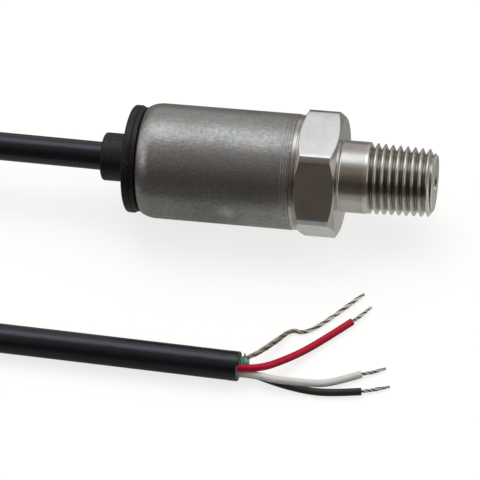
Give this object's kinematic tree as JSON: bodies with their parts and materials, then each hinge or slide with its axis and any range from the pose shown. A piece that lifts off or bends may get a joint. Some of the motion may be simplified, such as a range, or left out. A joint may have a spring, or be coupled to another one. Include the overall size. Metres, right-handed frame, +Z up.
{
  "type": "pressure transmitter",
  "caption": "Stainless steel pressure transmitter with a tapered pipe-thread port, wrench hexagon, round can and a black cable with stripped wire ends.",
  "frame": {"origin": "On the resting surface, under the middle of the body's length and width, measured without the cable. The body's axis is 11.1 mm above it.", "axes": "+X runs along the body's axis and out of the pressure port. +Z is up, square to the wrench flat that the body lies on."},
  "size_m": [0.1703, 0.074, 0.0222],
  "materials": {
    "turned_steel": "bright turned stainless steel",
    "can_steel": "satin drawn stainless steel with mottled stains",
    "grommet_rubber": "matt black moulded rubber",
    "gasket_rubber": "matt black rubber",
    "cable_jacket": "satin black PVC jacket",
    "ferrule_brass": "plain crimped brass",
    "gauge_silicon": "polished silicon",
    "ribbon_copper": "bare copper",
    "carrier_plastic": "black moulded plastic",
    "board_laminate": "green solder mask over glass laminate",
    "pin_brass": "gold-flashed pins",
    "chip_plastic": "black moulded chip body",
    "capacitor_ceramic": "tan ceramic",
    "resistor_ceramic": "black glazed ceramic",
    "red_insulation": "smooth red PVC",
    "white_insulation": "smooth off-white PVC",
    "black_insulation": "smooth black PVC",
    "green_insulation": "smooth green PVC",
    "tinned_copper": "tinned stranded copper",
    "clear_film": "thin clear polyester film"
  },
  "bodies": {
    "root": {"pressure_port": "turned_steel", "housing_can": "can_steel", "cable_grommet": "grommet_rubber", "grommet_gasket": "gasket_rubber", "cable_inner_end": "cable_jacket", "cable_ferrule": "ferrule_brass", "strain_gauges": "gauge_silicon", "gauge_ribbons": "ribbon_copper", "ring_board_spacer": "carrier_plastic", "ring_board": "board_laminate", "board_carrier": "carrier_plastic", "header_pins": "pin_brass", "main_board": "board_laminate", "amplifier_chip": "chip_plastic", "regulator_chip": "chip_plastic", "ceramic_capacitors": "capacitor_ceramic", "chip_resistors": "resistor_ceramic", "wire_pads": "tinned_copper", "red_inner_lead": "red_insulation", "white_inner_lead": "white_insulation", "black_inner_lead": "black_insulation", "cable_lead": "cable_jacket", "cable_coil": "cable_jacket", "cable_tail": "cable_jacket", "red_wire": "red_insulation", "white_wire": "white_insulation", "black_wire": "black_insulation", "red_conductor": "tinned_copper", "white_conductor": "tinned_copper", "black_conductor": "tinned_copper", "green_wire_stub": "green_insulation", "insulation_film": "clear_film", "drain_wire": "tinned_copper"}
  },
  "joints": []
}
